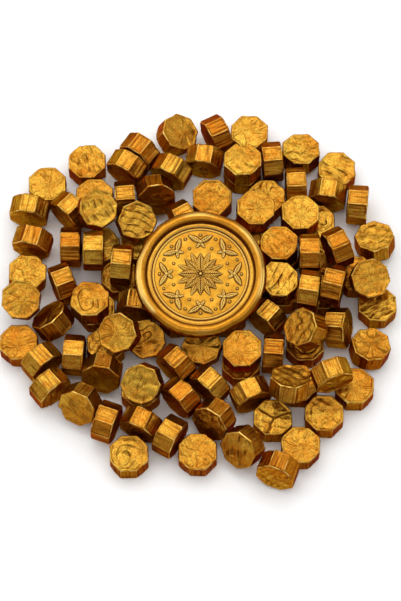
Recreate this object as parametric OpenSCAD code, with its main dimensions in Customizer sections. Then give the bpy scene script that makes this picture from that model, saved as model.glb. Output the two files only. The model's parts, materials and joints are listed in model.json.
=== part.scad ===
// A heap of loose octagonal sealing wax beads with one finished wax seal lying on top.
// Each bead is a separate casting, and the seal is a separate pressed disc.
// Millimetres, +Z up. The heap stands on z = 0, centred on the origin, and +Y points away from the viewer.

/* [Bead] */
// Width of a bead across its flats
bead_w = 8.9; // [8:0.1:11]
// Height of a bead from its moulded face to its poured face
bead_h = 4.8; // [4:0.1:6.5]
// Bevel round both faces of a bead
bead_bevel = 0.3; // [0.1:0.05:0.6]
// Width of the shallow dish that shrinkage leaves in the poured face
dish_w = 6.4; // [4:0.1:7]
// Depth of that dish
dish_depth = 0.25; // [0.1:0.05:0.5]
// Width of the bite that is broken out of one bead
bite_w = 3; // [2:0.1:4]
// Depth of that bite
bite_depth = 0.9; // [0.4:0.1:1.2]

/* [Heap] */
// Space left where one piece touches another
touch_gap = 0.06; // [0.04:0.01:0.2]

/* [Seal] */
// Width of the seal over its squeezed-out rim
seal_w = 30.2; // [28:0.1:34]
// Width of the round stamp that pressed it
stamp_w = 25; // [22:0.1:26]
// Height of the rim
seal_rim_h = 3.2; // [2.8:0.1:4.5]
// Height of the pressed floor inside the rim
seal_floor_h = 1.8; // [1.2:0.1:2.2]
// Tilt of the seal towards the viewer, in degrees
seal_tilt = 7; // [0:0.5:10]
// Width across the middles of the outer raised ring
outer_ring_w = 23; // [21:0.1:23.4]
// Width across the middles of the inner raised ring
inner_ring_w = 21.4; // [19.8:0.1:21.8]
// Width of a raised ring
ring_line_w = 0.5; // [0.3:0.05:0.7]

/* [Relief] */
// Height of the raised picture over the floor
relief_h = 0.4; // [0.2:0.05:0.6]
// Width of the flower over its petals
flower_w = 10; // [8:0.1:11]
// Width of one petal
petal_w = 2.2; // [1.4:0.1:2.6]
// Width across the middles of the leaf wreath
wreath_w = 15.4; // [15:0.1:16]
// Length of one leaf
leaf_l = 3.4; // [2.4:0.1:3.8]
// Width of one leaf
leaf_w = 1.3; // [0.8:0.1:1.6]
// Width of one berry
berry_w = 1; // [0.6:0.1:1.2]

/* [Hidden] */
$fn = 64;

// Rows of bead places: x, y, lean of the axis from upright, the way it leans, and turn about the axis.
// Places are millimetres for beads of the sizes below, and spread with the beads.
place_w = 8.9;
place_h = 4.8;
spread = max(bead_w / place_w, bead_h / place_h);

// Beads that stand on the table and show, those of the edge first
floor_rows = [
    [-16, -39, 0, 0, 0],
    [0.4, -37.5, 0, 0, 0],
    [8.6, -37.6, 55, 230, 0],
    [15.8, -41.8, 80, 250, 0],
    [21.9, -36.5, 0, 0, 0],
    [27.8, -29.3, 0, 0, 0],
    [34.8, -22.6, 0, 0, 0],
    [38, -12.8, 12, 55, 0],
    [40.4, -2.2, 0, 0, 0],
    [39.8, 14.7, 14, 110, 0],
    [34.6, 22.4, 90, 355, 0],
    [30.4, 32.4, 0, 0, 0],
    [22.6, 35.6, 8, 90, 0],
    [17.2, 34.1, 90, 5, 0],
    [11.3, 42.1, 0, 0, 0],
    [3.8, 39.6, 90, 27, 0],
    [-5.5, 41.6, 23, 350, 0],
    [-14.2, 36.8, 90, 55, 0],
    [-25.7, 34, 0, 0, 0],
    [-35.3, 28, 0, 0, 0],
    [-39, 21.4, 90, 80, 0],
    [-38.8, 13.4, 90, 75, 0],
    [-38.9, 5.2, 5, 0, 0],
    [-40.3, -11.6, 0, 0, 0],
    [-34.3, -16, 90, 310, 0],
    [-33.3, -22.6, 90, 310, 0],
    [-27, -27, 60, 245, 0],
    [-21.3, -31.3, 90, 340, 0],
    [-13, -31.9, 90, 245, 0],
    [-6.5, -35, 90, 330, 0],
    [3.8, -28.6, 68, 235, 0],
    [16, -29.3, 0, 0, 0],
    [9.7, -24, 90, 295, 0],
    [-4.2, -25.8, 90, 225, 0],
    [1.6, -22.2, 90, 228, 0],
    [-5.2, -17, 90, 45, 0],
    [-22, -19, 70, 260, 0],
    [-28.6, -15, 90, 355, 0],
    [-32.7, -7, 45, 140, 0],
    [-31.2, 2.6, 90, 22, 0],
    [-29.8, 11.3, 90, 0, 0],
    [-30.6, 20.6, 90, 45, 0],
    [-17.6, 31.2, 90, 60, 0],
    [-16, 25.6, 90, 5, 0],
    [-7.2, 31.4, 90, 62, 0],
    [0.6, 33, 90, 80, 0],
    [-5.2, 20.6, 90, 30, 0],
    [22.8, 27.8, 90, 3, 0],
    [30.4, 25.8, 90, 80, 0],
    [30.5, -7.6, 75, 350, 0],
    [15.8, -5.5, 90, 230, 0],
    [16.3, -14.2, 90, 355, 0],
    [-10.2, 26.8, 62, 280, 0],
    [-12, -12.2, 25, 280, 0],
    [0.4, -15, 14, 250, 0],
    [-16, -3.4, 90, 82, 0]
];

// Beads that lie on others and show, with the height of the middle at the end
upper_rows = [
    [-15.5, 17.4, 26, 295, 0, 8.8],
    [-24, 20, 20, 307, 0, 9.8],
    [-26.6, -3.2, 3, 90, 0, 10],
    [11.4, 32.5, 5, 90, 0, 7.2],
    [2.3, 23.2, 12, 270, 0, 8],
    [12.6, 19.8, 3, 0, 0, 7.2],
    [22.9, 20, 2, 0, 0, 8],
    [18.1, 9.7, 3, 90, 0, 7.2],
    [36.2, 3, 20, 286, 0, 8.5],
    [18.7, 0.5, 5, 0, 0, 7.2],
    [-17.9, -11, 27, 235, 0, 9.4],
    [-11.7, -24.2, 32, 245, 0, 9.6],
    [10.2, -15.3, 4, 270, 0, 7.2],
    [23.4, -9.6, 38, 190, 0, 7.5],
    [19.3, -24.4, 32, 80, 0, 8],
    [29.3, -22, 90, 290, 0, 9],
    [-40.2, -2, 18, 265, 0, 6.8],
    [-24.4, 8.8, 90, 0, 0, 9.8],
    [-18, 5.4, 90, 175, 0, 9.8],
    [25, 7.3, 90, 0, 0, 9.8],
    [31.2, 7.2, 90, 25, 0, 9.8],
    [29.7, 1.4, 90, 345, 0, 9.8],
    [25, -1.6, 90, 350, 0, 9.8],
    [-5, 6.4, 15.5, 270, 0, 8.2],
    [5, 6.2, 15.5, 270, 0, 8.2],
    [0, -2.8, 7, 270, 0, 7.8]
];

// Beads on the table under the others
lower_rows = [
    [0, 3, 0, 0, 0],
    [9.5, 3, 0, 0, 0],
    [4.8, 11.4, 0, 0, 0],
    [-4.6, 11.2, 0, 0, 0],
    [-4.4, -5.8, 0, 0, 0],
    [4.9, -5.8, 0, 0, 0],
    [8, -16.5, 0, 0, 0],
    [3, 24, 0, 0, 0],
    [12.4, 16.4, 0, 0, 0],
    [19, 1.5, 0, 0, 0],
    [18.2, 10.7, 0, 0, 0],
    [-23, 25, 0, 0, 0],
    [10.6, 32.3, 0, 0, 0],
    [16.6, 25.2, 0, 0, 0],
    [26.8, 18.1, 0, 0, 0],
    [25.2, -12.2, 0, 0, 0],
    [21, -20.8, 0, 0, 0],
    [-25.4, -2, 0, 0, 0],
    [-22, -11.6, 0, 0, 0],
    [-19, 3.8, 0, 0, 0],
    [-22.9, 12.3, 0, 0, 0],
    [-13.8, 12.8, 0, 0, 0],
    [27.2, 9.2, 0, 0, 0],
    [28, 0.4, 0, 0, 0],
    [35.6, 5.8, 0, 0, 0],
    [-13.4, -22.8, 0, 0, 0]
];

// Place of the middle of the seal in the heap, and the top bead that has the bite
seal_place = [0, 1.7];
bitten = 3;

// Distance from the axis of a bead to its corners, at the sides and at the edge of a face
bead_r = bead_w / 2 / cos(22.5);
face_r = (bead_w / 2 - bead_bevel) / cos(22.5);

// The farthest that any point of a bead lies from its middle
bead_reach = norm([bead_r, bead_h / 2]);

// The direction in a bead's own plane at an angle, for its lean, heading and turn
function in_plane(row, angle) = let(
    t = angle + row[4],
    x = cos(t) * cos(row[2]),
    y = sin(t)
) [x * cos(row[3]) - y * sin(row[3]), x * sin(row[3]) + y * cos(row[3]), -cos(t) * sin(row[2])];

function axis_of(row) = [sin(row[2]) * cos(row[3]), sin(row[2]) * sin(row[3]), cos(row[2])];

// A bead as placed: its middle, its face and edge directions with the axis first, its corners, and its row
function bead_at(row, middle) = [
    middle,
    concat([axis_of(row)], [for (k = [0:3]) in_plane(row, 45 * k)]),
    [for (k = [0:3]) in_plane(row, 22.5 + 45 * k)],
    row
];

// How far a bead reaches from its middle along n, to a corner of its side or of its face
function reach(bead, n) = let(
    a = abs(n * bead[1][0]),
    c = max([for (k = bead[2]) abs(n * k)])
) max((bead_h / 2 - bead_bevel) * a + bead_r * c, bead_h / 2 * a + face_r * c);

function flat(v) = [v[0], v[1], 0];

// How two beads can be parted: their face directions and each edge across each edge, as unit vectors
function parting(a, b) = concat(a[1], b[1], [
    for (i = a[1], j = b[1])
        let(n = cross(i, j))
        if (norm(n) > 0.05) n / norm(n)
]);

// Beads on the table push each other along it, and those lying on others are pushed the shortest way
function push_ways(axes, level) = [for (n = axes) level ? flat(n) / max(norm(flat(n)), 0.01) : n];
function push_costs(axes, level) = [for (n = axes) level ? 1 / max(norm(flat(n)), 0.01) : 1];

// Everything about two neighbours that stays the same while they move
function neighbours(beads, i, j) = let(
    axes = parting(beads[i], beads[j]),
    reaches = [for (n = axes) reach(beads[i], n) + reach(beads[j], n) + touch_gap],
    level = !is_upper(i) && !is_upper(j)
) [i, j, axes, reaches, push_ways(axes, level), push_costs(axes, level)];

// The push that parts two neighbours, as seen by the first of them, or undef if they are clear
function push_apart(pair, middles) = let(
    along = pair[2] * (middles[pair[0]] - middles[pair[1]])
) max(along - pair[3]) >= 0 || max(-along - pair[3]) >= 0 ? undef : let(
    steps = [for (k = [0:len(along) - 1]) (pair[3][k] - abs(along[k])) * pair[5][k]],
    least = min(steps),
    k = [for (k = [0:len(steps) - 1]) if (steps[k] == least) k][0]
) pair[4][k] * (along[k] < 0 ? -least : least);

// The share of a push that a bead takes: those on the table that show hold their places best
function give(i) = is_lower(i) ? hidden_give : is_upper(i) ? upper_give : 1;
function share(i, j) = give(i) / (give(i) + give(j));

function sum(list, i = 0, so_far = [0, 0, 0]) = i == len(list) ? so_far : sum(list, i + 1, so_far + list[i]);

// All the beads sink a little and push each other apart, again and again, until the heap is at rest
function settled(middles, rests, pairs, passes) = passes == 0 ? middles : let(
    sunk = [
        for (i = [0:len(middles) - 1])
            let(m = middles[i])
            [m[0], m[1], max(rests[i], m[2] - (passes > still_passes ? sink_step : 0))]
    ],
    pushes = [
        for (pair = pairs)
            let(p = push_apart(pair, sunk))
            if (!is_undef(p)) [pair[0], pair[1], p]
    ],
    moves = [
        for (i = [0:len(sunk) - 1]) sum([
            for (p = pushes)
                if (p[0] == i || p[1] == i)
                    p[2] * (p[0] == i ? share(i, p[1]) : -share(i, p[0]))
        ])
    ]
) settled([
    for (i = [0:len(sunk) - 1])
        let(m = sunk[i] + moves[i] * push_part)
        [m[0], m[1], max(rests[i], m[2])]
], rests, pairs, passes - 1);

// How the heap settles: passes, those at the end in which nothing sinks, the sink in each pass,
// the part of a push that is taken at once, the give of upper and of hidden beads beside the rest,
// and how much farther than touching a neighbour may start
settle_passes = 80;
still_passes = 12;
sink_step = 0.05;
push_part = 0.7;
upper_give = 2;
hidden_give = 3;
settle_room = 4;

rows = concat(floor_rows, upper_rows, lower_rows);
function is_upper(i) = i >= len(floor_rows) && i < len(floor_rows) + len(upper_rows);
function is_lower(i) = i >= len(floor_rows) + len(upper_rows);

// Beads as first set down, and the lowest that each can lie
loose = [for (r = rows) bead_at(r, [0, 0, 0])];
rests = [for (b = loose) reach(b, [0, 0, 1])];
starts = [
    for (i = [0:len(rows) - 1])
        let(r = rows[i])
        [r[0] * spread, r[1] * spread, max(rests[i], len(r) > 5 ? r[5] * spread : 0)]
];
pairs = [
    for (i = [0:len(rows) - 1])
        for (j = [i + 1:1:len(rows) - 1])
            if (norm(starts[i] - starts[j]) < 2 * bead_reach + settle_room) neighbours(loose, i, j)
];
middles = settled(starts, rests, pairs, settle_passes);
heap = [for (i = [0:len(rows) - 1]) bead_at(rows[i], middles[i])];

// Points round both faces of a bead, at the corners and half way between them
function face_points(bead) = [
    for (side = [-1, 1], k = [0:15])
        let(r = (bead_w / 2 - bead_bevel) / (k % 2 == 0 ? 1 : cos(22.5)))
        bead[0] + side * bead_h / 2 * bead[1][0] + r * in_plane(bead[3], 22.5 * k)
];

// The seal comes down on the heap until its underside touches, which curves up under the rim
seal_axis = [0, -sin(seal_tilt), cos(seal_tilt)];
seal_spot = [seal_place[0] * spread, seal_place[1] * spread, 0];
rim_r = seal_rim_h / 2;
rim_crest = seal_w / 2 - rim_r;
function from_seal(p) = norm(flat(p - seal_spot));
function rim_lift(d) = let(
    x = min(max(d - rim_crest, 0), rim_r)
) rim_r - sqrt(pow(rim_r, 2) - pow(x, 2));
function seal_rest(p) = p[2]
    - tan(seal_tilt) * (p[1] - seal_spot[1])
    + (touch_gap - rim_lift(from_seal(p))) / cos(seal_tilt);
seal_rests = [
    for (b = heap)
        if (from_seal(b[0]) < seal_w / 2 + bead_reach)
            for (p = face_points(b))
                if (from_seal(p) < seal_w / 2) seal_rest(p)
];
seal_foot = seal_spot + [0, 0, max(seal_rests)];

// What brings the middle of the heap's outline to the origin
function low(n) = min([for (b = heap) b[0] * n - reach(b, n)]);
function high(n) = max([for (b = heap) b[0] * n + reach(b, n)]);
function middle_along(n) = (low(n) + high(n)) / 2;
to_origin = -[middle_along([1, 0, 0]), middle_along([0, 1, 0]), 0];

// Beads that show on top have a node each, and the rest lie in nodes of three neighbours in the rows
group_size = 3;
n_table = len(floor_rows);
n_top = len(upper_rows);
n_hidden = len(lower_rows);
table_groups = ceil(n_table / group_size);
hidden_groups = ceil(n_hidden / group_size);
function tag(i) = str(i < 9 ? "0" : "", i + 1);
function top_name(i) = str("top_bead_", tag(i));
function table_name(g) = str("table_beads_", tag(g));
function hidden_name(g) = str("hidden_beads_", tag(g));

// One bead about its own middle: an octagonal prism with bevelled faces, dished where it was poured
module bead_form() {
    w = bead_w / 2;
    h = bead_h / 2;
    b = bead_bevel;
    half = [[w, h - b], [w - b, h], [b - w, h], [-w, h - b]];
    across = concat(half, [for (i = [3:-1:0]) [half[i][0], -half[i][1]]]);
    dish_r = (pow(dish_w / 2, 2) + pow(dish_depth, 2)) / dish_depth / 2;
    difference() {
        intersection_for (k = [0:3])
            rotate([90, 0, 45 * k])
                linear_extrude(2 * bead_w, center = true)
                    polygon(across);
        translate([0, 0, h + dish_r - dish_depth])
            sphere(dish_r, $fn = 160);
    }
}

// The bead that has a piece broken out of its edge, straight down its side
module bitten_bead() {
    difference() {
        bead_form();
        translate([bead_w / 2 - bite_depth + bite_w / 2, 0, 0])
            cylinder(h = 2 * bead_h, d = bite_w, center = true);
    }
}

// Sets a bead at its place in the heap
module placed(bead) {
    row = bead[3];
    translate(to_origin + bead[0])
        rotate([0, row[2], row[3]])
            rotate([0, 0, row[4]])
                children();
}

module top_bead(i) {
    color("goldenrod")
        placed(heap[n_table + i])
            if (i == bitten)
                bitten_bead();
            else
                bead_form();
}

module table_beads(g) {
    color("goldenrod")
        for (i = [g * group_size:1:min(n_table, (g + 1) * group_size) - 1])
            placed(heap[i])
                bead_form();
}

module hidden_beads(g) {
    first = n_table + n_top;
    color("goldenrod")
        for (i = [g * group_size:1:min(n_hidden, (g + 1) * group_size) - 1])
            placed(heap[first + i])
                bead_form();
}

// A leaf or petal lying along x from its root: the space that two round edges share
module leaf(length, width) {
    r = (pow(length / 2, 2) + pow(width / 2, 2)) / width;
    linear_extrude(2 * relief_h, center = true)
        intersection() {
            translate([length / 2, r - width / 2])
                circle(r, $fn = 160);
            translate([length / 2, width / 2 - r])
                circle(r, $fn = 160);
        }
}

// The flower in the middle: eight petals round a boss
module flower() {
    boss_w = petal_w;
    for (k = [0:7])
        rotate([0, 0, 45 * k])
            translate([boss_w / 4, 0, 0])
                leaf(flower_w / 2 - boss_w / 4, petal_w);
    sphere(d = boss_w);
}

// The wreath: leaves in pairs, with a berry outside each pair
module wreath() {
    r = wreath_w / 2;
    pairs = 8;
    for (k = [0:pairs - 1])
        rotate([0, 0, 360 / pairs * k]) {
            for (side = [-1, 1])
                translate([r, 0, 0])
                    rotate([0, 0, 60 * side])
                        leaf(leaf_l, leaf_w);
            translate([r, 0, 0])
                sphere(d = berry_w);
        }
}

// Half the section of the seal: a flat cake of wax with the rim that the stamp squeezed up round it
module seal_section() {
    difference() {
        union() {
            translate([rim_crest, rim_r])
                circle(rim_r);
            square([rim_crest, max(rim_r, seal_floor_h)]);
        }
        translate([-1, seal_floor_h])
            square([stamp_w / 2 + 1, seal_rim_h]);
    }
    for (w = [outer_ring_w, inner_ring_w])
        translate([w / 2, seal_floor_h])
            circle(d = ring_line_w, $fn = 24);
}

module seal() {
    color("darkgoldenrod")
        translate(to_origin + seal_foot)
            rotate([seal_tilt, 0, 0]) {
                rotate_extrude($fn = 160)
                    seal_section();
                translate([0, 0, seal_floor_h]) {
                    flower();
                    wreath();
                }
            }
}

seal();
for (i = [0:n_top - 1])
    top_bead(i);
for (g = [0:table_groups - 1])
    table_beads(g);
for (g = [0:hidden_groups - 1])
    hidden_beads(g);
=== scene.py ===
import json
import math

import bpy
import numpy as np
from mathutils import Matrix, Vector


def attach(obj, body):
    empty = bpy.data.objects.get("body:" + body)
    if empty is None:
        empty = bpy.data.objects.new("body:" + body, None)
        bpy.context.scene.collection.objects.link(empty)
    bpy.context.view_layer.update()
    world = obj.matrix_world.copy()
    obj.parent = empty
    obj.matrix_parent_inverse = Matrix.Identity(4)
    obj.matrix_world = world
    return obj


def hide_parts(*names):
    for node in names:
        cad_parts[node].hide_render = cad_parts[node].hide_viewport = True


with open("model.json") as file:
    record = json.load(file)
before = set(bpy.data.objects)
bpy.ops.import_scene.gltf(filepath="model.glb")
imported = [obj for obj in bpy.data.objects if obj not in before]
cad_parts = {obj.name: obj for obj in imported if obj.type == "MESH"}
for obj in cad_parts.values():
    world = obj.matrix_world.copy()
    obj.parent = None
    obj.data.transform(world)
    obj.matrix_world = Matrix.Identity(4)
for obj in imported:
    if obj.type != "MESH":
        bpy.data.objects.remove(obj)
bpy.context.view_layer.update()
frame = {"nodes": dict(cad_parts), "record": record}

# The beads
# Octagonal drops of sealing wax, a hard blend of resin and paraffin with gold mica, cast in open moulds.
# Setting leaves rays, folds or swirls in their faces, and the mould leaves lines down their sides.
# They lie loose in a heap, where their edges chip and rub pale on each other, and the pale edges also stand
# as painted highlights.

# Lengths are in millimetres, and a skin is turned into metres when its mesh is made
MM = 0.001
FLATS = 8
HALF_STEP = math.pi / FLATS
CORNER_SHARPNESS = 40
BEVEL = 0.3
BEVEL_STEPS = [(0.22, 0.1), (0.1, 0.22)]
MOST_DRAFT = 0.12
ALONG_FLAT = np.concatenate([[-0.975], np.linspace(-0.92, 0.92, 14), [0.975]])
FACE_RINGS = 24
SIDE_ROWS = np.array([-1, -0.93, -0.86, -0.79, -0.5, 0, 0.5, 0.79, 0.86, 0.93, 1])
MOULDED, EDGE, POURED, SIDE = -1, 0, 1, 2


def waves(points, length, rng, count=12):
    """Smooth random hills of about that wavelength, with a spread of about one."""
    ways = rng.normal(size=(count, points.shape[-1]))
    ways /= np.linalg.norm(ways, axis=1)[:, None]
    ways *= 2 * math.pi / length * rng.uniform(0.7, 1.35, count)[:, None]
    return np.sin(points @ ways.T + rng.uniform(0, 2 * math.pi, count)).sum(-1) / math.sqrt(count / 2)


def hills(points, length, rng):
    """The same hills, cut off so that they run from 0 to 2."""
    return 1 + np.clip(waves(points, length, rng), -1, 1)


def step(x, low, high):
    """0 below low, 1 above high, and smooth between."""
    t = np.clip((x - low) / (high - low), 0, 1)
    return t * t * (3 - 2 * t)


# The patterns of the bead faces. Each takes the points of a face, and gives how deep each point lies,
# how dark the painted shade in its creases, grooves and pits is, where it is along the fine lines, and how
# strongly those lines show there.


def rays(xy, rng):
    """Creases that run out from near the middle, with the fans between them set at different slopes."""
    centre = rng.uniform(-1.3, 1.3, 2)
    off = xy - centre
    r = np.hypot(off[:, 0], off[:, 1])
    angle = np.arctan2(off[:, 1], off[:, 0]) + 0.06 * waves(xy, 3.6, rng)
    count = rng.integers(7, 12)
    at = np.sort((np.arange(count) + rng.uniform(-0.35, 0.35, count)) * 2 * math.pi / count)
    which = np.searchsorted(at, np.mod(angle, 2 * math.pi)) % count
    turn = np.mod(angle - at[which - 1], 2 * math.pi)
    span = np.mod(at[which] - at[which - 1], 2 * math.pi)
    share = np.clip(turn / span, 0, 1)
    tilt = rng.uniform(-0.32, 0.32, count)
    grown = step(r, 0.0, 3.4)
    amount = 0.3 + 0.7 * step(waves(xy, 6, rng), -0.7, 0.7)
    depth = (0.16 + tilt[which] * (share - 0.5)) * grown
    painted_crease_shade = np.zeros(len(xy))
    for a in at:
        side = np.sin(angle - a) * r
        ahead = np.cos(angle - a) > 0
        cut = np.exp(-(side / rng.uniform(0.09, 0.15)) ** 2) * ahead * step(r, 0.1, 1.2)
        strength = rng.uniform(0.2, 0.8)
        depth += 0.07 * strength * cut * amount
        painted_crease_shade = np.maximum(painted_crease_shade, strength * cut * amount)
    streaks = np.column_stack([4.5 * np.cos(angle), 4.5 * np.sin(angle), 0.2 * r])
    return depth, painted_crease_shade, streaks, amount


def folds(xy, rng):
    """Wavy folds side by side, where the skin of the wax was pushed together."""
    a = rng.uniform(0, math.pi)
    across = xy @ np.array([math.cos(a), math.sin(a)]) + 0.22 * waves(xy, 6.5, rng)
    beside = xy @ np.array([-math.sin(a), math.cos(a)])
    length = rng.uniform(1.3, 2.0)
    saw = np.mod(across / length + 0.12 * waves(xy, 9, rng), 1)
    valley = np.exp(-(np.minimum(saw, 1 - saw) * length / 0.14) ** 2)
    amount = 0.25 + 0.75 * step(waves(xy, 3.6, rng), -0.6, 0.9)
    streaks = np.column_stack([1.8 * across, 0.2 * beside, np.zeros(len(xy))])
    return (0.34 * saw + 0.1 * valley) * amount, 0.95 * valley * amount, streaks, amount


def swirl(xy, rng):
    """Rings round a spot off the middle, where the wax was poured."""
    centre = rng.uniform(-1.2, 1.2, 2)
    off = xy - centre
    r = np.hypot(off[:, 0], off[:, 1]) * (1 + 0.12 * waves(xy, 6, rng)) + 0.2 * waves(xy, 3.2, rng)
    angle = np.arctan2(off[:, 1], off[:, 0])
    length = rng.uniform(1.2, 1.6)
    saw = np.mod(r / length + angle / (2 * math.pi), 1)
    valley = np.exp(-(np.minimum(saw, 1 - saw) * length / 0.18) ** 2)
    amount = 0.4 + 0.6 * step(waves(xy, 4.5, rng), -0.7, 0.8)
    streaks = np.column_stack([1.8 * r, 0.5 * np.cos(angle), 0.5 * np.sin(angle)])
    return (0.3 * saw + 0.1 * valley) * amount, valley * amount, streaks, amount


def grain(xy, rng):
    """A face that set slowly and evenly: broad low hills and small pits."""
    pits = step(waves(xy, 0.9, rng, 20), 0.6, 1.8)
    depth = 0.05 * pits + 0.09 * hills(xy, 2.6, rng)
    amount = 0.5 * step(waves(xy, 5, rng), -0.5, 1.0)
    streaks = np.column_stack([1.5 * xy, np.zeros(len(xy))])
    return depth, 0.6 * pits, streaks, amount


def ring(xy, rng):
    """A round skin that set first, with a groove round it and rays outside."""
    centre = rng.uniform(-0.6, 0.6, 2)
    off = xy - centre
    r = np.hypot(off[:, 0], off[:, 1]) + 0.12 * waves(xy, 3, rng)
    edge = rng.uniform(2.3, 2.9)
    groove = np.exp(-((r - edge) / 0.18) ** 2) * (0.25 + 0.75 * step(waves(xy, 5, rng), -0.5, 0.5))
    outer, painted_crease_shade, streaks, amount = rays(xy, rng)
    inner = grain(xy, rng)[0]
    outside = step(r, edge, edge + 0.3)
    depth = 0.1 * groove + outer * outside + 0.7 * inner * (1 - outside)
    painted_crease_shade = np.maximum(0.8 * groove, painted_crease_shade * outside)
    return depth, painted_crease_shade, streaks, amount * (0.2 + 0.8 * outside)


def cracked(xy, rng):
    """Three deep cracks that meet in the middle, with a flat fan between each two."""
    depth, painted_crease_shade, streaks, amount = grain(xy, rng)
    angle = np.arctan2(xy[:, 1], xy[:, 0])
    r = np.hypot(xy[:, 0], xy[:, 1])
    for a in (0.35, 2.5, 4.4):
        side = np.sin(angle - a) * r + 0.1 * waves(xy, 2.2, rng)
        cut = np.exp(-(side / 0.22) ** 2) * (np.cos(angle - a) > 0)
        depth = depth + 0.3 * cut
        painted_crease_shade = np.maximum(painted_crease_shade, cut)
    return depth, painted_crease_shade, streaks, amount


def bead_rows(half_h):
    """Rows of the bead's skin from the middle of the moulded face to that of the poured one.
    Each has its share of the face's width, its inset from the sides, its height and its kind."""
    shares = 1 - (1 - np.linspace(0.03, 1, FACE_RINGS)) ** 1.12
    rows = [(s, BEVEL, -half_h, MOULDED) for s in [*shares[::2], 1]]
    rows += [(1, inset, drop - half_h, EDGE) for inset, drop in BEVEL_STEPS]
    rows += [(1, 0, z, SIDE) for z in (half_h - BEVEL) * SIDE_ROWS]
    rows += [(1, inset, half_h - drop, EDGE) for inset, drop in BEVEL_STEPS[::-1]]
    rows += [(s, BEVEL, half_h, POURED) for s in shares[::-1]]
    return rows


# Noise starts at a random place within this distance, so that no two faces look alike
NOISE_SPACE = 500
# How far apart in the noise the lines of neighbouring sides are, and how slowly it changes along a line
NEXT_SIDE = (7.3, 3.1)
LINE_STRETCH = 0.06
# Height and length of a face's broad swells and of its fine ripple, and the depths that it sinks to
SWELL, SWELL_L = 0.033, 2.2
RIPPLE, RIPPLE_L = 0.008, 0.6
HOLLOW = 0.1
DEEPEST = 0.6
# Height and spacing of the mould lines, and the sunk panel in the middle of each side
RIDGE, RIDGE_L = 0.035, 0.72
FRAME_IN = 0.48
FRAME_HALF = 0.12
FRAME_DEPTH = 0.14
# The bite in one bead, as in the solid
BITE_R = 1.5
BITE_DEPTH = 0.9


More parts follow.
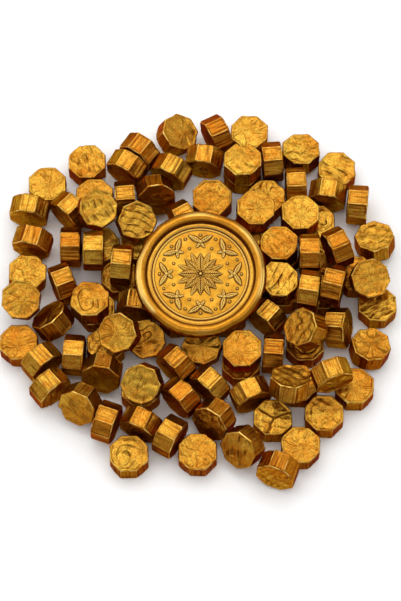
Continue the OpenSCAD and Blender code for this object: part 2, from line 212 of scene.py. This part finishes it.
def bead_skin(width, height, patterns, rng, bitten):
    """Points of one bead about its middle, row by row, and what the wax needs to know of each: how dark
    the painted shade in its creases is, how pale its rubbed edge is with a painted highlight, how smooth it
    is, how lined, and where it is in the noise and the lines."""
    flats = np.repeat(np.arange(FLATS), len(ALONG_FLAT))
    along = np.tile(ALONG_FLAT, FLATS) * math.tan(HALF_STEP)
    angle = flats * 2 * HALF_STEP + np.arctan(along)
    ways = np.cos(angle[:, None] - np.arange(FLATS) * 2 * HALF_STEP)
    rounded = 1 / (np.maximum(ways, 0) ** CORNER_SHARPNESS).sum(1) ** (1 / CORNER_SHARPNESS)
    circle = np.stack([np.cos(angle), np.sin(angle)], 1)
    half_w = width / 2
    half_h = height / 2
    half_flat = half_w * math.tan(HALF_STEP)

    # The plain bead, slightly worn and narrower towards the moulded face
    worn = 0.05 * hills(circle * half_w, 4, rng)
    draft = rng.uniform(0.0, MOST_DRAFT)
    rows = bead_rows(half_h)
    points = []
    for share, inset, z, _ in rows:
        r = rounded * (half_w - inset - worn - draft * (1 - z / half_h) / 2) * share
        points.append(np.column_stack([circle * r[:, None], np.full(len(angle), z)]))
    points = np.concatenate(points)
    kind = np.repeat([row[3] for row in rows], len(angle))
    shares = np.repeat([row[0] for row in rows], len(angle))
    facet = np.tile(flats, len(rows))
    t = np.tile(along * half_w, len(rows))
    z = points[:, 2].copy()
    place = points + rng.uniform(-NOISE_SPACE, NOISE_SPACE, 3)
    across_lines = t + facet * NEXT_SIDE[0]
    along_lines = LINE_STRETCH * z + facet * NEXT_SIDE[1]
    lines = np.column_stack([across_lines, along_lines, np.zeros(len(z))])
    lines = lines + rng.uniform(-NOISE_SPACE, NOISE_SPACE, 3)
    painted_crease_shades = np.zeros(len(points))
    lined = np.ones(len(points))

    # The faces, with the pattern of each, broad swells and a fine ripple, and a hollow in the poured one
    for face, pattern in zip((POURED, MOULDED), patterns):
        on = kind == face
        xy = points[on, :2]
        dip, marks, streaks, amount = pattern(xy, rng)
        fade = 0.3 + 0.7 * step(1 - shares[on], 0.0, 0.14)
        dip = dip + SWELL * (1.2 + waves(xy, SWELL_L, rng)) + RIPPLE * (1 + waves(xy, RIPPLE_L, rng, 20))
        dip += HOLLOW * (1 - shares[on] ** 2) * (face == POURED)
        points[on, 2] -= face * np.clip(dip, 0, DEEPEST) * fade
        # Painted shade: the face's creases, grooves and pits are coloured darker
        painted_crease_shades[on] = 0.85 * marks * fade
        lines[on] = streaks + rng.uniform(-NOISE_SPACE, NOISE_SPACE, 3)
        lined[on] = amount * fade

    # The sides, with mould lines along the bead and a frame round the sunk middle of each flat
    side = kind == SIDE
    edge = np.minimum(half_flat - np.abs(t), half_h - np.abs(z))
    ridges = waves(lines[:, :2], RIDGE_L, rng, 24)
    framed = rng.uniform(0.2, 1, FLATS)[facet]
    lined = np.where(side, 0.25 + 0.65 * framed, lined)
    sunk = step(edge, FRAME_IN - FRAME_HALF, FRAME_IN + FRAME_HALF) * framed
    dent = RIDGE * (1 + np.clip(ridges, -1, 1)) + FRAME_DEPTH * sunk
    dent += 0.035 * hills(points, 2.8, rng)
    dent *= step(edge, -0.05, 0.3) * side
    flat_way = np.stack([np.cos(facet * 2 * HALF_STEP), np.sin(facet * 2 * HALF_STEP)], 1)
    points[:, :2] -= flat_way * dent[:, None]
    # Painted shade: the low parts between the mould lines and the step round each sunk panel are coloured
    # darker
    painted_crease_shades = np.maximum(painted_crease_shades, 0.75 * step(-ridges, 0.4, 1.5) * step(edge, 0.0, 0.3) * side)
    painted_crease_shades = np.maximum(painted_crease_shades, 0.85 * np.exp(-((edge - FRAME_IN) / FRAME_HALF) ** 2) * framed * side)
    polish = np.where(side, rng.uniform(0.0, 0.3, FLATS)[facet], 0.0)

    # The edges, rubbed pale in spots with a painted highlight along them, and chipped, with painted shade in
    # each chip, and the bite that is broken out of one bead, with painted shade round its edge
    corner = np.abs(t) > 0.95 * half_flat
    rubbed_highlight_spots = step(waves(points, 2.2, rng), -0.9, 1.2)
    # Painted highlight along the bevels and corners, in the spots where the edges are rubbed pale
    rubbed_and_highlit = np.where((kind == EDGE) | (side & corner), 0.95 * rubbed_highlight_spots, 0.0)
    for _ in range(rng.integers(3, 7)):
        a = rng.integers(0, FLATS) * 2 * HALF_STEP + rng.normal(HALF_STEP, 0.16)
        spot = np.array([math.cos(a) * half_w, math.sin(a) * half_w, rng.choice([-1, 1]) * half_h])
        near = np.exp(-((points - spot) ** 2).sum(1) / rng.uniform(0.35, 0.8) ** 2)
        points -= near[:, None] * rng.uniform(0.08, 0.32) * spot / np.linalg.norm(spot)
        # Painted shade in the hollow of each chip
        painted_crease_shades = np.maximum(painted_crease_shades, 0.4 * near)
    if bitten:
        middle = half_w - BITE_DEPTH + BITE_R
        off = points[:, :2] - [middle, 0]
        far = np.linalg.norm(off, axis=1)
        inside = far < BITE_R
        points[inside, :2] = [middle, 0] + off[inside] / far[inside, None] * BITE_R
        # Painted shade round the edge of the bite
        painted_crease_shades = np.maximum(painted_crease_shades, 0.8 * step(-far, -BITE_R - 0.1, -BITE_R + 0.2))
    marks = {"painted_crease_shade": np.clip(painted_crease_shades, 0, 1), "rubbed_and_highlit": rubbed_and_highlit, "polish": polish, "lined": lined}
    return points, {**marks, "place": place, "lines": lines}


def skin_mesh(name, points, columns, marks):
    """A closed skin in metres from rows of points round an axis, with a point added at each end.
    The marks go with it as attributes of its points."""
    n_rows = len(points) // columns
    grid = np.arange(n_rows * columns).reshape(n_rows, columns)
    right = np.roll(grid, -1, axis=1)
    quads = np.stack([grid[:-1], right[:-1], right[1:], grid[1:]], -1).reshape(-1, 4)
    first, last = len(points), len(points) + 1
    faces = quads.tolist()
    faces += [[first, int(b), int(a)] for a, b in zip(grid[0], right[0])]
    faces += [[last, int(a), int(b)] for a, b in zip(grid[-1], right[-1])]

    def with_ends(values):
        """The values of the points, and then those of the two ends."""
        return np.concatenate([values, [values[grid[0]].mean(0)], [values[grid[-1]].mean(0)]])

    mesh = bpy.data.meshes.new(name)
    mesh.from_pydata((with_ends(points) * MM).tolist(), [], faces)
    for key, values in marks.items():
        kind, field = ("FLOAT", "value") if values.ndim == 1 else ("FLOAT_VECTOR", "vector")
        attribute = mesh.attributes.new(key, kind, "POINT")
        attribute.data.foreach_set(field, with_ends(values).astype(np.float32).ravel())
    mesh.polygons.foreach_set("use_smooth", np.ones(len(mesh.polygons), bool))
    mesh.update()
    return mesh


def solids_of(node):
    """The separate solids of a CAD node: for each, the node's points in mm and the solid's own triangles."""
    mesh = node.data
    points = np.zeros(len(mesh.vertices) * 3)
    mesh.vertices.foreach_get("co", points)
    points = points.reshape(-1, 3) / MM
    mesh.calc_loop_triangles()
    triangles = np.zeros(len(mesh.loop_triangles) * 3, int)
    mesh.loop_triangles.foreach_get("vertices", triangles)
    points, joined = np.unique(np.round(points, 3), axis=0, return_inverse=True)
    triangles = joined.ravel()[triangles].reshape(-1, 3)
    group = np.arange(len(points))
    while True:
        least = group[triangles].min(1)
        new = group.copy()
        for k in range(3):
            np.minimum.at(new, triangles[:, k], least)
        new = new[new]
        if (new == group).all():
            break
        group = new
    return [(points, triangles[group[triangles[:, 0]] == g]) for g in np.unique(group[triangles])]


def normals_of(points, triangles):
    """The way out of each triangle, and its area."""
    a, b, c = (points[triangles[:, k]] for k in range(3))
    cross = np.cross(b - a, c - a)
    area = np.linalg.norm(cross, axis=1) / 2
    return cross / np.maximum(area[:, None] * 2, 1e-12), area


def up_from_foot(normal, area):
    """The way that points into a solid from its largest flat face."""
    ways, which = np.unique(np.round(normal, 2), axis=0, return_inverse=True)
    largest = ways[np.bincount(which.ravel(), weights=area).argmax()]
    flat = normal @ largest / np.linalg.norm(largest) > 0.999
    up = -(normal[flat] * area[flat, None]).sum(0)
    return up / np.linalg.norm(up)


def halfway(points, way):
    """The step from the origin along a way to the middle of the points."""
    far = points @ way
    return way * (far.max() + far.min()) / 2


def bead_place(points, triangles):
    """Where a bead lies: its middle, the ways to one flat, to the next but one and to the poured face,
    its width and its height. On the bitten bead the first of these is the way to the bite."""
    normal, area = normals_of(points, triangles)
    axis = up_from_foot(normal, area)
    upright = (np.abs(normal @ axis) < 0.02) & (area > 0.5)
    x_way = normal[upright][np.argmax(normal[upright] @ np.array([1.0, 0.013, 0.0071]))]
    x_way = x_way - axis * (x_way @ axis)
    x_way /= np.linalg.norm(x_way)
    y_way = np.cross(axis, x_way)
    used = points[np.unique(triangles)]
    middle = sum(halfway(used, way) for way in (axis, x_way, y_way))
    a, b, c = (points[triangles[:, k]] for k in range(3))
    volume = (a * np.cross(b, c)).sum(1) / 6
    heart = ((a + b + c) / 4 * volume[:, None]).sum(0) / volume.sum()
    lean = heart - middle
    lean = lean - axis * (lean @ axis)
    if np.linalg.norm(lean) > 0.02:
        turns = [k * 2 * HALF_STEP for k in range(FLATS)]
        flat_ways = [math.cos(turn) * x_way + math.sin(turn) * y_way for turn in turns]
        x_way = max(flat_ways, key=lambda way: -way @ lean)
        y_way = np.cross(axis, x_way)
    return middle, np.column_stack([x_way, y_way, axis]), np.ptp(used @ y_way), np.ptp(used @ axis)


def linear(code):
    """An sRGB hex colour as the linear colour that the shaders take."""
    parts = [int(code[i:i + 2], 16) / 255 for i in (1, 3, 5)]
    return [c / 12.92 if c <= 0.04045 else ((c + 0.055) / 1.055) ** 2.4 for c in parts] + [1]


def add_node(tree, kind, inputs=None, **settings):
    """Adds a node, sets its properties, and fills its inputs with values or links."""
    node = tree.nodes.new(kind)
    for name, value in settings.items():
        setattr(node, name, value)
    for name, value in (inputs or {}).items():
        if isinstance(value, bpy.types.NodeSocket):
            tree.links.new(value, node.inputs[name])
        else:
            node.inputs[name].default_value = value
    return node


# Gold mica wax, cast or pressed. The flakes lie flat under the skin, so the eye sees a soft metal: yellow
# where light meets it straight, browner at a slant, dark where wax without flakes fills fine lines, with
# painted shade in the creases, and pale where an edge is rubbed down to the flakes, drawn brighter as a
# painted highlight, and pale as a painted highlight on the heights and rim crest of the seal. Real flakes
# are under 0.1 mm, too fine to show in the render, so the grain is drawn coarser, as the clumps that they
# make.
# Pale gold of rubbed edges, also used for painted highlights
RUBBED_HIGHLIGHT_GOLD = "#e0ba62"
SLANT_GOLD = "#ac6412"
# Distance over which the brightness changes from one pour to the next
POUR_MM = 18
# How much less rough a fully smooth skin is, and how much rougher it is between the flakes
SMOOTHER = -0.15
DULLER = 0.1


def gold_wax(name, deep, body, bright, grain_mm, flow_mm, line_mm, marked, rough, grain_depth, coat):
    """Three tones of pigment, spread by flow and by pour, with mica grain, mould lines, painted shade in
    creases, and pale rubbed edges with painted highlights.
    """
    material = bpy.data.materials.new(name)
    material.use_nodes = True
    tree = material.node_tree
    tree.nodes.clear()
    place = add_node(tree, "ShaderNodeAttribute", attribute_name="place").outputs["Vector"]
    lines_at = add_node(tree, "ShaderNodeAttribute", attribute_name="lines").outputs["Vector"]
    # How dark the painted shade in creases is
    painted_crease_shade = add_node(tree, "ShaderNodeAttribute", attribute_name="painted_crease_shade").outputs["Fac"]
    rubbed_and_highlit = add_node(tree, "ShaderNodeAttribute", attribute_name="rubbed_and_highlit").outputs["Fac"]
    polish = add_node(tree, "ShaderNodeAttribute", attribute_name="polish").outputs["Fac"]
    lined = add_node(tree, "ShaderNodeAttribute", attribute_name="lined").outputs["Fac"]
    flakes = add_node(
        tree, "ShaderNodeTexNoise",
        {"Vector": place, "Scale": 1 / grain_mm, "Detail": 3.0, "Roughness": 0.65},
    ).outputs["Fac"]
    flow = add_node(
        tree, "ShaderNodeTexNoise",
        {"Vector": place, "Scale": 1 / flow_mm, "Detail": 2.0, "Distortion": 1.4},
    ).outputs["Fac"]
    lines = add_node(
        tree, "ShaderNodeTexNoise", {"Vector": lines_at, "Scale": 1 / line_mm, "Detail": 2.0},
    ).outputs["Fac"]
    pour = add_node(
        tree, "ShaderNodeTexNoise", {"Vector": place, "Scale": 1 / POUR_MM, "Detail": 0.0},
    ).outputs["Fac"]

    # How bright the pigment is: by flow, less where the skin is smooth, and by the pour
    flowed = add_node(
        tree, "ShaderNodeMapRange",
        {"Value": flow, "From Min": 0.3, "From Max": 0.7, "To Min": 0.28, "To Max": 0.78},
    ).outputs["Result"]
    poured = add_node(
        tree, "ShaderNodeMapRange",
        {"Value": pour, "From Min": 0.3, "From Max": 0.65, "To Min": 0.5, "To Max": 1.2},
    ).outputs["Result"]
    matt = add_node(tree, "ShaderNodeMath", {0: 1.0, 1: polish}, operation="SUBTRACT").outputs[0]
    open_face = add_node(tree, "ShaderNodeMath", {0: flowed, 1: matt}, operation="MULTIPLY").outputs[0]
    pale = add_node(tree, "ShaderNodeMath", {0: open_face, 1: poured}, operation="MULTIPLY").outputs[0]
    tone = add_node(
        tree, "ShaderNodeMix",
        {"Factor": pale, "A": linear(body), "B": linear(bright)}, data_type="RGBA",
    ).outputs["Result"]

    # Dark specks and lines, painted shade in the creases, and pale rubbed edges and painted highlights over
    # all of them
    speckle = add_node(
        tree, "ShaderNodeMapRange",
        {"Value": flakes, "From Min": 0.34, "From Max": 0.52, "To Min": marked, "To Max": 0.0},
    ).outputs["Result"]
    streak = add_node(
        tree, "ShaderNodeMapRange",
        {"Value": lines, "From Min": 0.37, "From Max": 0.47, "To Min": marked, "To Max": 0.0},
    ).outputs["Result"]
    streaked = add_node(tree, "ShaderNodeMath", {0: streak, 1: lined}, operation="MULTIPLY").outputs[0]
    marks = add_node(tree, "ShaderNodeMath", {0: speckle, 1: streaked}, operation="MAXIMUM").outputs[0]
    dark = add_node(tree, "ShaderNodeMath", {0: painted_crease_shade, 1: marks}, operation="MAXIMUM").outputs[0]
    # Painted shade: creases mixed toward the deep tone, along with the dark specks and lines
    specked_and_shaded = add_node(
        tree, "ShaderNodeMix", {"Factor": dark, "A": tone, "B": linear(deep)}, data_type="RGBA",
    ).outputs["Result"]
    # Painted highlight: rubbed edges, and the seal's heights and crest, mixed toward pale gold
    colour = add_node(
        tree, "ShaderNodeMix",
        {"Factor": rubbed_and_highlit, "A": specked_and_shaded, "B": linear(RUBBED_HIGHLIGHT_GOLD)}, data_type="RGBA",
    ).outputs["Result"]

    # A satin skin, duller between the flakes and smoother where it was pressed or moulded
    dull = add_node(
        tree, "ShaderNodeMapRange",
        {"Value": flakes, "From Min": 0.3, "From Max": 0.7, "To Min": rough + DULLER, "To Max": rough},
    ).outputs["Result"]
    gloss = add_node(
        tree, "ShaderNodeMath", {0: polish, 1: SMOOTHER, 2: dull}, operation="MULTIPLY_ADD",
    ).outputs[0]
    skin = add_node(tree, "ShaderNodeMath", {0: flakes, 1: lines}, operation="ADD").outputs[0]
    bump = add_node(
        tree, "ShaderNodeBump", {"Height": skin, "Distance": grain_depth * MM, "Strength": 1.0},
    ).outputs["Normal"]
    shader = add_node(
        tree, "ShaderNodeBsdfPrincipled",
        {"Base Color": colour, "Roughness": gloss, "Normal": bump, "Metallic": 1.0,
         "Specular Tint": linear(SLANT_GOLD), "Coat Weight": coat, "Coat Roughness": 0.12},
    )
    add_node(tree, "ShaderNodeOutputMaterial", {"Surface": shader.outputs[0]})
    return material


bead_wax = gold_wax(
    "cast_gold_wax", "#461300", "#ac5903", "#dab040",
    grain_mm=0.28, flow_mm=2.2, line_mm=0.36, marked=0.68, rough=0.27, grain_depth=0.055, coat=0.03,
)

# What the faces of the beads that show most look like, from left to right in each node
SHOWN_FACES = {
    "table_beads_01": [swirl, grain, folds],
    "table_beads_02": [folds, rays, ring],
    "table_beads_03": [rays, rays, folds],
    "table_beads_04": [folds, grain, ring],
    "table_beads_05": [rays, grain, grain],
    "table_beads_06": [folds, rays, grain],
    "table_beads_07": [grain, rays, folds],
    "table_beads_08": [rays, grain, folds],
    "table_beads_09": [grain, folds, folds],
    "table_beads_11": [folds, grain, cracked],
    "top_bead_01": [folds],
    "top_bead_02": [folds],
    "top_bead_03": [swirl],
    "top_bead_04": [rays],
    "top_bead_05": [grain],
    "top_bead_06": [rays],
    "top_bead_07": [rays],
    "top_bead_08": [ring],
    "top_bead_09": [rays],
    "top_bead_10": [folds],
    "top_bead_11": [rays],
    "top_bead_12": [folds],
    "top_bead_13": [rays],
    "top_bead_14": [grain],
    "top_bead_15": [rays],
    "top_bead_17": [rays],
}
OTHER_FACES = [rays, rays, folds, swirl, grain]
BITTEN_BEAD = "top_bead_04"
BEAD_SEED = 1000

bodies = frame["record"]["behaviour"]["bodies"]
body_of = {node: body for body, members in bodies.items() for node in members}
bead_columns = FLATS * len(ALONG_FLAT)
for order, name in enumerate(sorted(n for n in frame["nodes"] if n != "seal")):
    solids = [bead_place(*solid) for solid in solids_of(frame["nodes"][name])]
    solids.sort(key=lambda solid: solid[0][0])
    for k, (middle, turn, width, height) in enumerate(solids):
        rng = np.random.default_rng(BEAD_SEED + 10 * order + k)
        shown = SHOWN_FACES.get(name, [])
        top = shown[k] if k < len(shown) else OTHER_FACES[rng.integers(len(OTHER_FACES))]
        under = OTHER_FACES[rng.integers(len(OTHER_FACES))]
        skin, marks = bead_skin(width, height, (top, under), rng, name == BITTEN_BEAD)
        title = f"{name}_wax" if len(solids) == 1 else f"{name}_wax_{k + 1}"
        bead = bpy.data.objects.new(title, skin_mesh(title, middle + skin @ turn.T, bead_columns, marks))
        bpy.context.scene.collection.objects.link(bead)
        bead.data.materials.append(bead_wax)
        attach(bead, body_of[name])
        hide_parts(name)

# The seal
# The same wax, melted, poured in a pool and pressed with a cold round stamp until it set.
# The stamp squeezed the rim up round itself, and left two ring lines, a flower and a wreath of leaves.
# It lies loose on the heap.
SEAL_COLUMNS = 448
SEAL_SEED = 77
FOOT_ROWS = 7
RIM_ROWS = 27
RING_ROWS = 28
FIELD_ROWS = 102
# Rows from here on can lie under the stamp
STAMPED_FROM = 31
# Rows along the crest of the rim, and how strong the painted highlight along each is
CREST = slice(22, 29)
CREST_HIGHLIGHT = np.array([0.3, 0.6, 0.85, 0.9, 0.85, 0.6, 0.3])
RIM_R = 13.5
RIM_TUBE = 1.6
RIM_FROM, RIM_TO = -80, 128
RIM_POLISH = 0.7
STAMP_R = 12.45
FLOOR_Z = 1.8
OUTER_RING_R, OUTER_RING_HALF, OUTER_RING_H = 11.72, 0.58, 0.3
INNER_RING_R, INNER_RING_HALF, INNER_RING_H = 10.72, 0.26, 0.22
FIELD_R = 10.3
PETALS = 8


def leaf(xy, root, angle, length, width, height):
    """A raised leaf with a rib down its middle and fine side veins."""
    way = np.array([math.cos(angle), math.sin(angle)])
    off = xy - root
    u = off @ way / length
    v = off @ np.array([-way[1], way[0]])
    half = width / 2 * np.sin(math.pi * np.clip(u, 0, 1) ** 0.8) + 1e-6
    dome = np.sqrt(np.clip(1 - (v / half) ** 2, 0, 1)) * ((u > 0) & (u < 1))
    rib = 1 - 0.45 * np.exp(-(v / 0.09) ** 2)
    veins = 1 - 0.18 * (0.5 + 0.5 * np.cos(2 * math.pi * (u * length - 0.8 * np.abs(v)) / 0.5))
    return height * dome * rib * veins


def ball(xy, centre, width, height):
    """A raised round dot."""
    far = np.linalg.norm(xy - centre, axis=1) * 2 / width
    return height * np.sqrt(np.clip(1 - far ** 2, 0, 1))


def seal_picture(xy):
    """The heights that the stamp pressed into the field: a flower, and a wreath round it."""
    up = np.zeros(len(xy))
    for k in range(PETALS):
        a = k * 2 * math.pi / PETALS
        b = a + math.pi / PETALS
        way = np.array([math.cos(a), math.sin(a)])
        between = np.array([math.cos(b), math.sin(b)])
        parts = [leaf(xy, 0.55 * way, a, 4.45, 2.2, 0.56)]
        parts += [leaf(xy, 2.4 * between, b, 3.1, 1.3, 0.34)]
        for side in (-1, 1):
            parts += [leaf(xy, 7.7 * way, a + side * math.pi / 3, 3.2, 1.3, 0.52)]
            parts += [leaf(xy, 7.6 * way, a + side * math.pi * 0.8, 1.7, 0.75, 0.4)]
        parts += [ball(xy, 7.7 * way, 1.0, 0.55)]
        parts += [ball(xy, 9.3 * way, 0.6, 0.36)]
        parts += [ball(xy, 9.0 * between, 0.55, 0.34)]
        parts += [ball(xy, 6.6 * between, 0.6, 0.34)]
        parts += [ball(xy, 0.75 * way, 0.55, 0.62)]
        up = np.maximum(up, np.max(parts, axis=0))
    return np.maximum(up, ball(xy, np.zeros(2), 1.0, 0.68))


def raised(r, middle, half, height):
    """The height of a ring line with a round section."""
    return height * np.sqrt(max(0, 1 - ((r - middle) / half) ** 2))


def seal_skin(rng):
    """Points of the seal over the middle of its foot, from the foot over the rim to the middle of the field,
    and what the wax needs to know of each."""
    angle = np.arange(SEAL_COLUMNS) * 2 * math.pi / SEAL_COLUMNS
    circle = np.stack([np.cos(angle), np.sin(angle)], 1)
    rim_line = circle * 15
    level = np.ones(SEAL_COLUMNS)

    # The rows: a flat foot, a rim that sags and pulls in unevenly, the stamp's wall, the rings and the field
    sag = 0.1 * hills(rim_line, 14, rng)
    pull = 0.03 * hills(rim_line, 9, rng)
    pull = pull + 0.3 * step(waves(rim_line, 22, rng), 0.5, 1.6)
    rows = [(r * level, 0 * level) for r in np.linspace(1.5, RIM_R, FOOT_ROWS)]
    for a in np.radians(np.linspace(RIM_FROM, RIM_TO, RIM_ROWS)):
        r = RIM_R + RIM_TUBE * math.cos(a) - pull * (1 + math.cos(a)) / 2
        z = RIM_TUBE * (1 + math.sin(a)) - sag * (1 + math.sin(a)) / 2
        rows.append((r, z))
    rows.append(((STAMP_R + 0.02) * level, (FLOOR_Z + 0.6) * level))
    rows.append((STAMP_R * level, (FLOOR_Z + 0.05) * level))
    for r in np.linspace(STAMP_R - 0.08, FIELD_R, RING_ROWS):
        outer = raised(r, OUTER_RING_R, OUTER_RING_HALF, OUTER_RING_H)
        inner = raised(r, INNER_RING_R, INNER_RING_HALF, INNER_RING_H)
        rows.append((r * level, (FLOOR_Z + max(outer, inner)) * level))
    for r in np.linspace(FIELD_R - 0.1, 0.12, FIELD_ROWS):
        rows.append((r * level, FLOOR_Z + seal_picture(circle * r)))
    r = np.array([row[0] for row in rows])
    z = np.array([row[1] for row in rows])
    points = np.concatenate([np.column_stack([circle * a[:, None], b]) for a, b in zip(r, z)])

    # Painted shade in the hollows of the picture and at the foot of the stamp's wall, and painted highlights
    # on its heights and along the crest of the rim
    soft = z.copy()
    for _ in range(3):
        beside = np.roll(soft, 1, 1) + np.roll(soft, -1, 1)
        around = np.roll(soft, 1, 0) + np.roll(soft, -1, 0)
        soft = (soft + beside + around) / 5
    row = np.arange(len(rows))
    stamped = (row >= STAMPED_FROM)[:, None]
    pressed = (r < STAMP_R) & stamped
    # Painted shade in the hollows of the picture and at the foot of the stamp's wall
    painted_crease_shades = np.clip((soft - z) / 0.03, 0, 1) * pressed
    painted_crease_shades = np.maximum(painted_crease_shades, 0.6 * np.exp(-((r - STAMP_R) / 0.12) ** 2) * stamped)
    # Painted highlight on the heights of the picture and in streaks along the crest of the rim
    rubbed_and_highlit = np.clip((z - soft) / 0.04, 0, 0.85) * pressed
    rubbed_and_highlit[CREST] = CREST_HIGHLIGHT[:, None] * step(waves(rim_line, 18, rng), -0.6, 1.0)
    polish = np.repeat(RIM_POLISH * (row < FOOT_ROWS + RIM_ROWS), SEAL_COLUMNS)
    points[:, 2] -= 0.02 * hills(points[:, :2], 6, rng) * (points[:, 2] > 1)
    place = points + 40.0
    marks = {"painted_crease_shade": painted_crease_shades.ravel(), "rubbed_and_highlit": rubbed_and_highlit.ravel(), "polish": polish}
    return points, {**marks, "lined": np.ones(len(points)), "place": place, "lines": place}


# Pressed gold wax: smooth and glossier than the cast beads, with soft clouds of pigment and hardly any grain
seal_wax = gold_wax(
    "pressed_gold_wax", "#421400", "#a4680a", "#cc9c30",
    grain_mm=0.5, flow_mm=3.6, line_mm=2.0, marked=0.22, rough=0.22, grain_depth=0.006, coat=0.15,
)
seal_points, seal_triangles = solids_of(frame["nodes"]["seal"])[0]
seal_used = seal_points[np.unique(seal_triangles)]
seal_up = up_from_foot(*normals_of(seal_points, seal_triangles))
seal_x = np.array([1.0, 0, 0]) - seal_up * seal_up[0]
seal_x /= np.linalg.norm(seal_x)
seal_y = np.cross(seal_up, seal_x)
seal_turn = np.column_stack([seal_x, seal_y, seal_up])
seal_foot = halfway(seal_used, seal_x) + halfway(seal_used, seal_y) + seal_up * (seal_used @ seal_up).min()
skin, marks = seal_skin(np.random.default_rng(SEAL_SEED))
seal_mesh = skin_mesh("seal_wax_disc", seal_foot + skin @ seal_turn.T, SEAL_COLUMNS, marks)
seal = bpy.data.objects.new("seal_wax_disc", seal_mesh)
bpy.context.scene.collection.objects.link(seal)
seal.data.materials.append(seal_wax)
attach(seal, "seal")
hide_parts("seal")

# The floor
# A pale painted table top that the heap lies on, wide enough to fill the view.
# It is matt, so that it shows the heap's soft shadow and no reflection.
FLOOR_HALF = 2.0
floor_paint = bpy.data.materials.new("matt_white_paint")
floor_paint.use_nodes = True
floor_shader = floor_paint.node_tree.nodes["Principled BSDF"]
floor_shader.inputs["Base Color"].default_value = linear("#f9f9f9")
floor_shader.inputs["Roughness"].default_value = 0.9
floor_corners = [(x * FLOOR_HALF, y * FLOOR_HALF, 0) for x, y in ((-1, -1), (1, -1), (1, 1), (-1, 1))]
floor_mesh = bpy.data.meshes.new("table_top")
floor_mesh.from_pydata(floor_corners, [], [(0, 1, 2, 3)])
floor = bpy.data.objects.new("table_top", floor_mesh)
floor.data.materials.append(floor_paint)
bpy.context.scene.collection.objects.link(floor)

# The light and the camera
# A wide soft panel overhead with a brighter small one behind it, a low panel at each side, and an even room.
# The camera looks down at the heap from the front.
ROOM = 0.56
scene = bpy.context.scene
scene.view_settings.view_transform = "Standard"
room = bpy.data.worlds.new("room")
room.use_nodes = True
room.node_tree.nodes["Background"].inputs["Color"].default_value = (ROOM, ROOM, ROOM, 1)
scene.world = room

# Width and depth in metres, brightness, and middle of each panel
PANELS = {
    "wide_panel": (2.0, 2.0, 0.88, (-0.1, 0.25, 0.9)),
    "near_panel": (0.7, 0.5, 1.5, (-0.05, 0.45, 0.95)),
    "left_panel": (0.5, 0.3, 1.2, (-0.9, 0.1, 0.4)),
    "right_panel": (0.5, 0.3, 1.2, (0.9, 0.1, 0.4)),
}
for title, (across, deep, brightness, middle) in PANELS.items():
    lamp = bpy.data.lights.new(title, "AREA")
    lamp.shape = "RECTANGLE"
    lamp.size = across
    lamp.size_y = deep
    lamp.energy = math.pi * across * deep * brightness
    panel = bpy.data.objects.new(title, lamp)
    panel.location = middle
    panel.rotation_euler = Vector(middle).to_track_quat("Z", "Y").to_euler()
    scene.collection.objects.link(panel)

ELEVATION = math.radians(65.5)
DISTANCE = 0.62
AIM = Vector((0.000214, 0.000106, 0))
FRAME_H = 601
FOCAL_PX = 2684.6
SHIFT_PX = 2.5
eye = bpy.data.cameras.new("camera")
eye.sensor_width = 36
eye.lens = FOCAL_PX * eye.sensor_width / FRAME_H
eye.shift_y = SHIFT_PX / FRAME_H
eye.clip_start = 0.01
camera = bpy.data.objects.new("camera", eye)
camera.location = AIM + DISTANCE * Vector((0, -math.cos(ELEVATION), math.sin(ELEVATION)))
camera.rotation_euler = (math.pi / 2 - ELEVATION, 0, 0)
scene.collection.objects.link(camera)
scene.camera = camera
